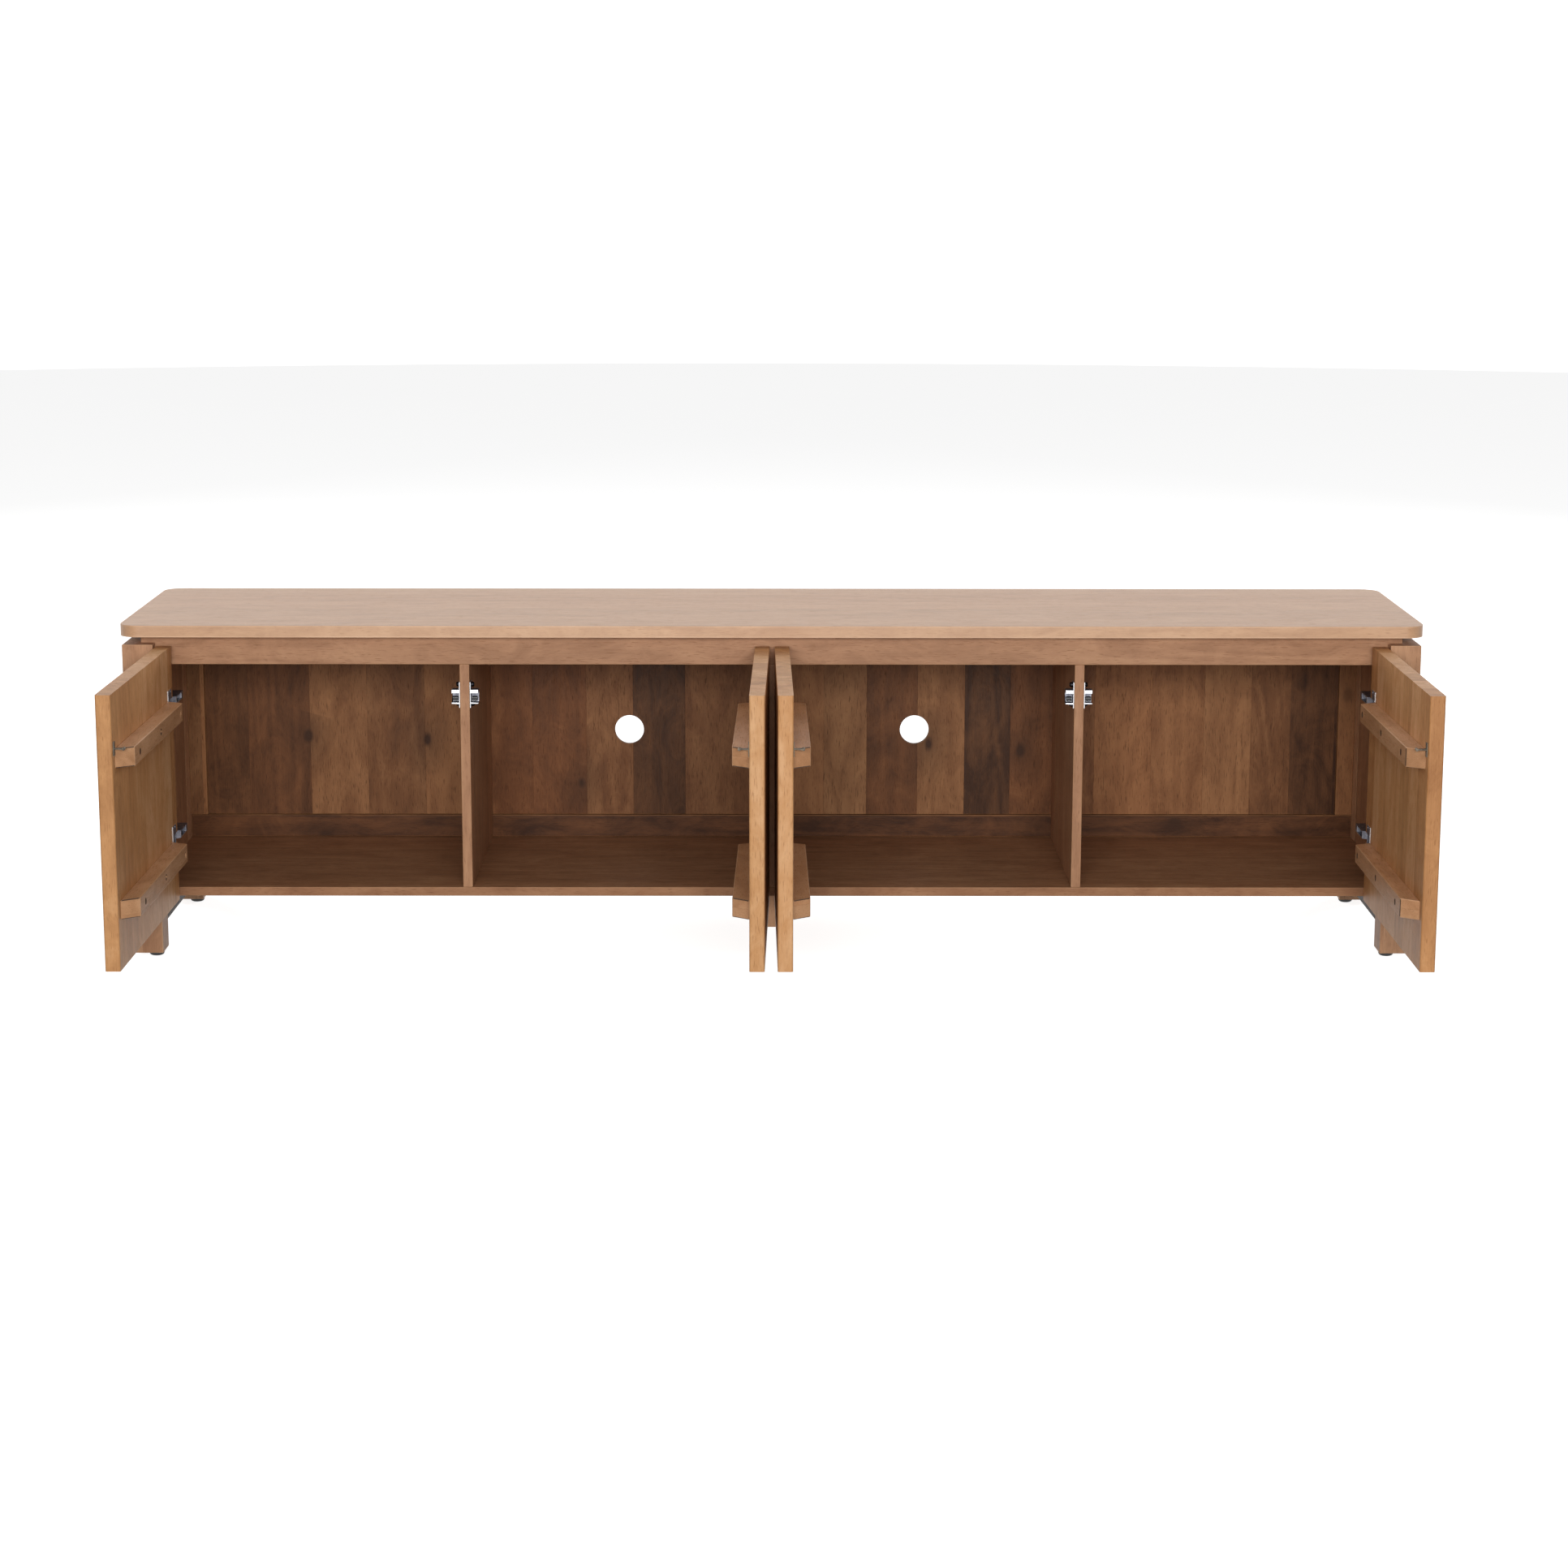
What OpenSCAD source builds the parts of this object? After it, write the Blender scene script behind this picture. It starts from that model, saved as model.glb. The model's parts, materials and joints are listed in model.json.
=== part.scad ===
// Long low television console in solid wood: a floating top on an apron frame,
// a four-bay case on five legs, and four overlay doors with battens, concealed
// hinges and roller catches.  Drawn with every door open at a right angle.
// Origin: on the floor under the middle of the centre leg.  +X right, front at -Y, +Z up.

/* [Body] */
// Overall width across the top
body_w = 2000; // [1800:10:2200]
// Overall depth across the top
body_d = 440; // [420:5:480]
// Overall height, floor to top surface
body_h = 520; // [480:5:560]
// Thickness of the top board
top_t = 18; // [16:1:24]
// Plan radius of the top's corners
corner_r = 30; // [15:1:45]
// How far the top stands past the legs on every side
overhang = 5; // [3:1:10]
// Gap between the leg tops and the underside of the top
float_gap = 12; // [8:1:16]

/* [Case] */
// Thickness of the side panels
side_t = 25; // [22:1:30]
// Thickness of the apron boards
apron_t = 22; // [18:1:24]
// Height of the apron boards
apron_h = 46; // [42:1:52]
// Thickness of the bottom board
floor_t = 14; // [12:1:18]
// Underside of the bottom board above the floor
floor_z = 91; // [85:1:100]
// Thickness of the three dividers
div_t = 15; // [13:1:18]
// Thickness of the back frame
frame_t = 12; // [10:1:14]
// Thickness of the back boards
back_t = 8; // [6:1:9]
// Height of the rails under the ends of the bottom board
lower_rail_h = 43; // [30:1:60]
// Height of the back's bottom rail
rail_h = 37; // [30:1:45]
// Width of the back's end stiles
stile_w = 28; // [22:1:32]
// Diameter of the cable holes
cable_d = 48; // [40:1:60]
// Height of the cable holes above the floor
cable_z = 286; // [260:1:320]

/* [Legs] */
// Width of a leg seen from the front
leg_w = 47; // [42:1:50]
// Depth of a leg
leg_d = 50; // [45:1:60]
// Height of the glides
glide_h = 5; // [4:1:8]
// Diameter of the glides
glide_d = 23; // [18:1:24]
// Width of the centre leg
mid_leg_w = 24; // [20:1:40]
// Depth of the centre leg
mid_leg_d = 30; // [24:1:50]

/* [Doors] */
// How far each door stands open, from left to right, in degrees
door_open = [90.5, 89.2, 89.5, 90]; // [85:0.1:91]
// Thickness of a door
door_t = 22; // [20:1:24]
// Height of a door
door_h = 398; // [380:1:400]
// Underside of the doors above the floor
door_z = 88; // [84:1:92]
// Gap between the leg and the hinge edge of a shut outer door
door_gap = 3; // [2.5:0.5:4]
// Gap between two shut doors where their free edges meet
meet_gap = 3; // [2.5:0.5:4]
// Gap between the shut doors and the front of the case
shut_gap = 2.5; // [2:0.5:3]
// Radius on the upright edges of the doors
edge_r = 3; // [2.5:0.5:4]
// Height of a batten
bat_h = 28; // [24:1:30]
// How far a batten stands off its door
bat_t = 25; // [20:1:27]
// Slope run at the ends of a batten
bat_bevel = 19; // [15:1:22]
// Distance from the door's lower edge to the middle of the lower batten
bat_low = 86; // [80:1:95]
// Distance from the door's lower edge to the middle of the upper batten
bat_high = 305; // [300:1:312]

/* [Hinges] */
// Distance from a door's hinge edge to its turning axis
axis_s = 8; // [7.5:0.5:9]
// Distance from a door's front face to its turning axis
axis_t = 7; // [6.5:0.5:7.5]
// Hinge height above the door's lower edge, lower one
hinge_low = 100; // [95:1:110]
// Hinge height above the door's lower edge, upper one
hinge_high = 311; // [305:1:316]
// Diameter of the hinge cups
cup_d = 35; // [34:1:36]
// Thickness of the hinge blocks on the case sides
block_t = 28; // [25:1:30]
// Depth of the hinge blocks
block_d = 70; // [65:1:90]

/* [Catches] */
// Height of the catches above the doors' lower edge
catch_h = 320; // [318:1:326]
// How far a catch stands off its divider
catch_w = 13; // [12:1:14]
// Diameter of a catch roller
roller_d = 6; // [5:0.5:7]

/* [Hidden] */
$fn = 64;
eps = 0.01;
half_w = body_w / 2;
half_d = body_d / 2;
top_z = body_h - top_t;
post_x = half_w - overhang;
post_y = half_d - overhang;
post_top = top_z - float_gap;
inner_x = post_x - leg_w;
wall_x = post_x - side_t;
case_y = -post_y + door_t + shut_gap;
floor_top = floor_z + floor_t;
apron_z = top_z - apron_h;
frame_y = post_y - 1 - frame_t;
panel_y = frame_y + frame_t - back_t;
rail_top = floor_top + rail_h;
back_top = post_top;
rear_y = panel_y - apron_t;
hinge_x = inner_x - door_gap;
centre_gap = door_gap;
door_w = (hinge_x - centre_gap - meet_gap) / 2;
div_x = (hinge_x - door_w + centre_gap + door_w) / 2;
axis_y = -post_y + axis_t;
axis_x_out = hinge_x - axis_s;
axis_x_in = centre_gap + axis_s;
block_x = wall_x - block_t;
glide_in = 12;
// battens
bat_a = 45;
bat_b = door_w - 17;
bat_mid = door_w / 2;
screw_pitch = 160;
bore_d = 10;
screw_d = 8;
bore_deep = 7;
// hinge hardware
notch_s = 15;
notch_t = 3;
notch_z = 8;
cup_s = 24;
cup_deep = 11.5;
plate_t = 1.2;
flange_w = 27;
flange_h = 46;
pin_r = 1.6;
knuckle_r = 3.4;
arm_h = 12;
arm_w = 4;
arm_stand = 22;
cheek_t = 1.4;
// catch hardware
catch_y = case_y + 2.5;
catch_d = 24;
plate_h = 40;
tongue_w = 7;
tongue_l = 13;
tongue_t = 1.6;
strike_h = 20;
head_d = 4.4;
roller_top = -head_d / 2 - 0.3;
catch_off = catch_w / 2;
catch_z = door_z + catch_h;
free_s = div_t / 2 + catch_off - meet_gap / 2;

wood = [0.72, 0.54, 0.38];
pale = [0.80, 0.64, 0.48];
dark = [0.50, 0.34, 0.22];
ebony = [0.15, 0.11, 0.09];
zinc = [0.70, 0.72, 0.75];
black = [0.08, 0.08, 0.09];

// ---- helpers -------------------------------------------------------------

module box(x0, x1, y0, y1, z0, z1) {
  translate([x0, y0, z0]) cube([x1 - x0, y1 - y0, z1 - z0]);
}

module on_side(side) {
  mirror([side < 0 ? 1 : 0, 0, 0]) children();
}

// Carries a piece drawn in a door's own frame to its open place, turned by its opening angle.
// Door frame: x = distance from the hinge edge, y = depth from the front face, z = up.
module open_door(k) {
  outer = (k == 1 || k == 4);
  side = (k <= 2) ? -1 : 1;
  ax = side * (outer ? axis_x_out : axis_x_in);
  face = outer ? side : -side;
  translate([ax, axis_y, door_z])
    mirror([face < 0 ? 1 : 0, 0, 0])
      rotate([0, 0, door_open[k - 1]])
        mirror([1, 0, 0])
          translate([-axis_s, -axis_t, 0])
            children();
}

// Carries a piece drawn in the carcass side of a hinge: x away from the mounting
// face, y = world depth, z measured from the hinge's middle.
module hinge_place(k, level) {
  outer = (k == 1 || k == 4);
  side = (k <= 2) ? -1 : 1;
  ax = side * (outer ? axis_x_out : axis_x_in);
  face = outer ? side : -side;
  translate([ax, axis_y, door_z + level])
    mirror([face < 0 ? 1 : 0, 0, 0])
      children();
}

// Carries a catch piece: x away from the divider face, y = world depth, z from its middle.
module catch_place(k) {
  side = (k <= 2) ? -1 : 1;
  outward = (k == 1 || k == 4) ? side : -side;
  translate([side * div_x + outward * div_t / 2, 0, catch_z])
    mirror([outward < 0 ? 1 : 0, 0, 0])
      children();
}

// ---- case ----------------------------------------------------------------

module top_panel() {
  color(pale)
    translate([0, 0, top_z])
      linear_extrude(top_t)
        union() {
          square([body_w - 2 * corner_r, body_d], center = true);
          square([body_w, body_d - 2 * corner_r], center = true);
          for (sx = [-1, 1], sy = [-1, 1])
            translate([sx * (half_w - corner_r), sy * (half_d - corner_r)])
              circle(r = corner_r);
        }
}

module front_apron() {
  color(wood) box(-wall_x, wall_x, case_y, case_y + apron_t, apron_z, top_z);
}

module rear_apron() {
  color(wood) box(-wall_x, wall_x, rear_y, panel_y, apron_z, top_z);
}

module side_apron(side) {
  color(wood)
    on_side(side)
      box(wall_x - apron_t, wall_x, case_y + apron_t, rear_y, apron_z, top_z);
}

module side_apron_left() {
  side_apron(-1);
}

module side_apron_right() {
  side_apron(1);
}

module bottom_panel() {
  color(wood) box(-wall_x, wall_x, case_y, post_y - 1, floor_z, floor_top);
}

// Rails under the ends of the bottom board, from leg to leg.
module lower_rails() {
  color(ebony)
    for (side = [-1, 1])
      on_side(side)
        box(wall_x - apron_t, wall_x, -post_y + leg_d, post_y - leg_d, floor_z - lower_rail_h, floor_z);
}

module side_panel(side) {
  color(wood)
    on_side(side)
      box(wall_x, post_x, -post_y + leg_d, post_y - leg_d, floor_z, post_top);
}

module side_panel_left() {
  side_panel(-1);
}

module side_panel_right() {
  side_panel(1);
}

module divider(cx) {
  color(wood)
    translate([cx - div_t / 2, 0, 0])
      union() {
        translate([0, case_y, floor_top]) cube([div_t, frame_y - case_y, apron_z - floor_top]);
        translate([0, case_y + apron_t, floor_top + rail_h])
          cube([div_t, rear_y - case_y - apron_t, top_z - floor_top - rail_h]);
        translate([0, rear_y - 20, rail_top]) cube([div_t, panel_y - rear_y + 20, apron_z - rail_top]);
      }
}

module divider_left() {
  divider(-div_x);
}

module divider_centre() {
  divider(0);
}

module divider_right() {
  divider(div_x);
}

module back_rail() {
  color(wood) box(-wall_x, wall_x, frame_y, frame_y + frame_t, floor_top, rail_top);
}

module back_stiles() {
  color(wood)
    for (side = [-1, 1])
      on_side(side)
        union() {
          box(wall_x - stile_w, wall_x, frame_y, frame_y + frame_t, rail_top, apron_z);
          box(wall_x - stile_w, wall_x, panel_y, frame_y + frame_t, apron_z - eps, back_top);
        }
}

module back_panel(x0, x1, hole) {
  color(dark)
    difference() {
      box(x0, x1, panel_y, frame_y + frame_t, rail_top, back_top);
      if (hole)
        translate([(x0 + x1) / 2, panel_y - 1, cable_z])
          rotate([-90, 0, 0])
            cylinder(d = cable_d, h = back_t + 2);
    }
}

module back_panel_1() {
  back_panel(-wall_x + stile_w, -div_x, false);
}

module back_panel_2() {
  back_panel(-div_x, 0, true);
}

module back_panel_3() {
  back_panel(0, div_x, true);
}

module back_panel_4() {
  back_panel(div_x, wall_x - stile_w, false);
}

// ---- legs ----------------------------------------------------------------

module leg(sx, sy) {
  color(wood)
    on_side(sx)
      mirror([0, sy > 0 ? 1 : 0, 0])
        union() {
          box(inner_x, post_x, -post_y, -post_y + leg_d, glide_h, floor_z);
          box(wall_x, post_x, -post_y, -post_y + leg_d, floor_z - eps, post_top);
          if (sy < 0)
            box(inner_x, post_x, -post_y, case_y, floor_z - eps, post_top);
        }
}

module leg_front_left() {
  leg(-1, -1);
}

module leg_front_right() {
  leg(1, -1);
}

module leg_rear_left() {
  leg(-1, 1);
}

module leg_rear_right() {
  leg(1, 1);
}

module centre_leg() {
  color(wood)
    box(-mid_leg_w / 2, mid_leg_w / 2, -mid_leg_d / 2, mid_leg_d / 2, 0, floor_z);
}

module glides() {
  color(black)
    for (sx = [-1, 1], front_y = [-post_y, post_y - leg_d])
      translate([sx * (inner_x + glide_in), front_y + glide_in, 0])
        cylinder(d = glide_d, h = glide_h);
}

// ---- hinges --------------------------------------------------------------

module hinge_blocks() {
  color(wood)
    for (side = [-1, 1])
      on_side(side)
        box(block_x, wall_x, case_y, case_y + block_d, floor_top, apron_z);
}

// Distance from the turning axis to the face the hinge is screwed to.
function mount_off(k) = (k == 1 || k == 4) ? block_x - axis_x_out : axis_x_in - div_t / 2;

module hinge_plate(k) {
  off = mount_off(k);
  difference() {
    union() {
      box(off - 2.5, off, 38, 78, -22, 22);
      box(off - 5, off - 2.5 + eps, 34, 86, -7, 7);
    }
    for (sz = [-1, 1])
      translate([off + 1, 58, sz * 15])
        rotate([0, -90, 0])
          cylinder(d = 5, h = 5);
  }
}

module hinge_plates() {
  color(zinc)
    for (k = [1:4], level = [hinge_low, hinge_high])
      hinge_place(k, level) hinge_plate(k);
}

module hinge_arm(k) {
  off = mount_off(k) - 5;
  nose = off - arm_stand + 5;
  difference() {
    union() {
      cylinder(r = knuckle_r, h = arm_h, center = true);
      translate([-arm_w / 2, 0, -arm_h / 2]) cube([arm_w, 14, arm_h]);
      translate([0, 0, -arm_h / 2])
        linear_extrude(arm_h)
          polygon([
            [-arm_w / 2, 11], [arm_w / 2, 13],
            [nose + 12, 25], [nose, 25]
          ]);
      box(nose, nose + 12, 24.9, 84, -arm_h / 2, arm_h / 2);
      box(nose + 12 - eps, off, 40, 84, -arm_h / 2, arm_h / 2);
    }
    cylinder(r = pin_r + 0.05, h = arm_h + 2, center = true);
    box(nose - 1, nose + 9, 30, 72, -arm_h / 2 + 1.6, arm_h / 2 - 1.6);
  }
}

module hinge_arms() {
  color(zinc)
    for (k = [1:4], level = [hinge_low, hinge_high])
      hinge_place(k, level) hinge_arm(k);
}

// Door side of a hinge, in the door's frame with z from the hinge's middle.
module hinge_cup() {
  difference() {
    union() {
      translate([cup_s, door_t - cup_deep, 0])
        rotate([-90, 0, 0])
          cylinder(d = cup_d - 0.2, h = cup_deep + eps);
      box(axis_s + notch_s - 6, axis_s + notch_s - 6 + flange_w, door_t, door_t + plate_t,
          -flange_h / 2, flange_h / 2);
    }
    box(-1, notch_s + 0.2, 0, door_t + 5, -notch_z - 0.2, notch_z + 0.2);
    box(notch_s + 1.4, 37, door_t - cup_deep + 1.4, door_t + 5, -9, 9);
  }
  for (sz = [-1, 1])
    translate([0, 0, sz * (notch_z - 0.3 - cheek_t / 2)]) {
      translate([axis_s, axis_t, 0]) cylinder(r = 3.6, h = cheek_t, center = true);
      box(axis_s, notch_s - 0.2, axis_t - 3, axis_t + 11, -cheek_t / 2, cheek_t / 2);
      box(notch_s - 0.3, notch_s + 1.6, door_t - cup_deep, axis_t + 11, -cheek_t / 2, cheek_t / 2);
    }
  translate([axis_s, axis_t, 0]) cylinder(r = pin_r, h = 2 * notch_z - 0.7, center = true);
}

module hinge_cups(k) {
  color(zinc)
    open_door(k)
      for (level = [hinge_low, hinge_high])
        translate([0, 0, level]) hinge_cup();
}

module hinge_cups_1() {
  hinge_cups(1);
}

module hinge_cups_2() {
  hinge_cups(2);
}

module hinge_cups_3() {
  hinge_cups(3);
}

module hinge_cups_4() {
  hinge_cups(4);
}

// ---- doors ---------------------------------------------------------------

module door_panel(k) {
  color(wood)
    open_door(k)
      difference() {
        linear_extrude(door_h)
          union() {
            translate([edge_r, 0]) square([door_w - 2 * edge_r, door_t]);
            translate([0, edge_r]) square([door_w, door_t - 2 * edge_r]);
            for (x = [edge_r, door_w - edge_r], y = [edge_r, door_t - edge_r])
              translate([x, y]) circle(r = edge_r, $fn = 32);
          }
        for (level = [hinge_low, hinge_high]) {
          translate([cup_s, door_t - cup_deep - 0.1, level])
            rotate([-90, 0, 0])
              cylinder(d = cup_d, h = cup_deep + 1);
          box(-1, notch_s, notch_t, door_t + 1, level - notch_z, level + notch_z);
        }
      }
}

module door_panel_1() {
  door_panel(1);
}

module door_panel_2() {
  door_panel(2);
}

module door_panel_3() {
  door_panel(3);
}

module door_panel_4() {
  door_panel(4);
}

module batten(k, level) {
  color(wood)
    open_door(k)
      translate([0, 0, level - bat_h / 2])
        difference() {
          linear_extrude(bat_h)
            polygon([
              [bat_a, door_t], [bat_b, door_t],
              [bat_b - bat_bevel, door_t + bat_t], [bat_a + bat_bevel - 6, door_t + bat_t]
            ]);
          for (i = [-1:1])
            translate([bat_mid + i * screw_pitch, door_t + bat_t - bore_deep, bat_h / 2])
              rotate([-90, 0, 0])
                cylinder(d = bore_d, h = bore_deep + 1);
        }
}

module upper_batten_1() {
  batten(1, bat_high);
}

module upper_batten_2() {
  batten(2, bat_high);
}

module upper_batten_3() {
  batten(3, bat_high);
}

module upper_batten_4() {
  batten(4, bat_high);
}

module lower_batten_1() {
  batten(1, bat_low);
}

module lower_batten_2() {
  batten(2, bat_low);
}

module lower_batten_3() {
  batten(3, bat_low);
}

module lower_batten_4() {
  batten(4, bat_low);
}

module batten_screws(k) {
  color(dark)
    open_door(k)
      for (level = [bat_low, bat_high], i = [-1:1])
        translate([bat_mid + i * screw_pitch, door_t + bat_t - bore_deep, level])
          rotate([-90, 0, 0])
            difference() {
              cylinder(d = screw_d, h = 2.6);
              for (a = [0, 90])
                rotate([0, 0, a]) translate([-2.6, -0.5, 1.6]) cube([5.2, 1, 2]);
            }
}

module batten_screws_1() {
  batten_screws(1);
}

module batten_screws_2() {
  batten_screws(2);
}

module batten_screws_3() {
  batten_screws(3);
}

module batten_screws_4() {
  batten_screws(4);
}

// ---- catches -------------------------------------------------------------

// Fixed part: plate on the divider, roof jaw, back wall and a cradle for the roller.
module catch_body() {
  box(0, 1.5, catch_y, catch_y + catch_d, -plate_h / 2, plate_h / 2);
  box(1.5 - eps, catch_w, catch_y, catch_y + catch_d - 4, 2.6, 8);
  box(1.5 - eps, catch_w, catch_y + 17, catch_y + catch_d - 2, -12, 2.6 + eps);
  box(1.5 - eps, catch_w, catch_y + 1, catch_y + 17 + eps, -14, -12);
}

module catch_case(k) {
  color(zinc) catch_place(k) catch_body();
}

module catch_1() {
  catch_case(1);
}

module catch_2() {
  catch_case(2);
}

module catch_3() {
  catch_case(3);
}

module catch_4() {
  catch_case(4);
}

// Sprung roller on its carrier, free to sink by the gap under the carrier.
module roller(k) {
  color(black)
    catch_place(k)
      union() {
        translate([3.5, catch_y + 8, roller_top - roller_d / 2])
          rotate([0, 90, 0])
            cylinder(d = roller_d, h = catch_w - 5);
        box(3.5, catch_w - 1.5, catch_y + 5.5, catch_y + 10.5, -9.6, roller_top - roller_d / 2);
      }
}

module roller_1() {
  roller(1);
}

module roller_2() {
  roller(2);
}

module roller_3() {
  roller(3);
}

module roller_4() {
  roller(4);
}

// Door half: a small plate with a tongue whose rounded head passes the roller.
module strike(k) {
  color(zinc)
    open_door(k)
      translate([door_w - free_s, door_t, catch_h])
        union() {
          box(-4, 6, 0, 1.2, -strike_h / 2, strike_h / 2);
          box(-tongue_w / 2, tongue_w / 2, 1.2 - eps, 1.2 + tongue_l, -tongue_t / 2, tongue_t / 2);
          translate([-tongue_w / 2, 1.2 + tongue_l, 0])
            rotate([0, 90, 0])
              cylinder(d = head_d, h = tongue_w);
        }
}

module strike_1() {
  strike(1);
}

module strike_2() {
  strike(2);
}

module strike_3() {
  strike(3);
}

module strike_4() {
  strike(4);
}

// ---- drawing -------------------------------------------------------------

top_panel();
front_apron();
rear_apron();
side_apron_left();
side_apron_right();
bottom_panel();
lower_rails();
side_panel_left();
side_panel_right();
divider_left();
divider_centre();
divider_right();
back_rail();
back_stiles();
back_panel_1();
back_panel_2();
back_panel_3();
back_panel_4();
leg_front_left();
leg_front_right();
leg_rear_left();
leg_rear_right();
centre_leg();
glides();
hinge_blocks();
hinge_plates();
hinge_arms();
catch_1();
catch_2();
catch_3();
catch_4();
roller_1();
roller_2();
roller_3();
roller_4();
door_panel_1();
upper_batten_1();
lower_batten_1();
batten_screws_1();
hinge_cups_1();
strike_1();
door_panel_2();
upper_batten_2();
lower_batten_2();
batten_screws_2();
hinge_cups_2();
strike_2();
door_panel_3();
upper_batten_3();
lower_batten_3();
batten_screws_3();
hinge_cups_3();
strike_3();
door_panel_4();
upper_batten_4();
lower_batten_4();
batten_screws_4();
hinge_cups_4();
strike_4();
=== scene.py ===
"""Looks of a long low television console: solid wood boards, open doors and zinc hardware."""

import json
import math

import bmesh
import bpy
from mathutils import Matrix, Vector


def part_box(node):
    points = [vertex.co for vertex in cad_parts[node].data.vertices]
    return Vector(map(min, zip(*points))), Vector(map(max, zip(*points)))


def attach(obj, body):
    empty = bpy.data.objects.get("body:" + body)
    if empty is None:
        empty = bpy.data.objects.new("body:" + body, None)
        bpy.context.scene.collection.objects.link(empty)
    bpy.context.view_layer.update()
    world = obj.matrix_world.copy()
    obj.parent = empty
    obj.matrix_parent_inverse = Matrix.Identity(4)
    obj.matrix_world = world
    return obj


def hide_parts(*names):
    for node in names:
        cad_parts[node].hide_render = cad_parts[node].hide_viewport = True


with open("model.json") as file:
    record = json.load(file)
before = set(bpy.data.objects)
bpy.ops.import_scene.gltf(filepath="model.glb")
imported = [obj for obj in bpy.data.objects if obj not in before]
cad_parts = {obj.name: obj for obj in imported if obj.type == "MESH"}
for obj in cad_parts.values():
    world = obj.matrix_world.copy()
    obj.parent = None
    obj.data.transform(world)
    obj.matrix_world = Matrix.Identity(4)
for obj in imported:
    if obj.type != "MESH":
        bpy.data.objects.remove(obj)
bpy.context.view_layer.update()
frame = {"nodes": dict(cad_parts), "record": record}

# ---- values --------------------------------------------------------------

MM = 0.001
WELD = 1e-6
X, Y, Z = 0, 1, 2
DOORS = (1, 2, 3, 4)

# Edges: how far they are eased, the shortest one that is eased, and the angles from which an edge
# counts as sharp and as a crease.
EASE, SHORTEST = 1.3 * MM, 6 * MM
METAL_EASE, METAL_SHORTEST = 0.35 * MM, 2.5 * MM
TOP_EASE = 2.2 * MM
SHARP = math.radians(25)
CREASE = math.radians(38)

# Faces that differ in direction by less than this are one flat face.
FLAT = math.radians(0.5)

# Faces narrower than this are the cut edges of sheet metal.
SHEET_EDGE = 1.7 * MM

# Faces inside a drilled hole lie this far within the outline and have at most this perimeter.
BORE_MARGIN = 5 * MM
BORE_FACE = 60 * MM

BODY_OF = {n: b for b, nodes in frame["record"]["behaviour"]["bodies"].items() for n in nodes}
SLOT_OF = {s["node"]: s["material_slot"] for s in frame["record"]["subparts"]}


# ---- material nodes ------------------------------------------------------


def srgb(r, g, b):
    """A colour given as 0 to 255 screen values, as the linear colour that a shader takes."""

    def linear(c):
        c /= 255
        return c / 12.92 if c < 0.04045 else ((c + 0.055) / 1.055) ** 2.4

    return (linear(r), linear(g), linear(b), 1.0)


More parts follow.
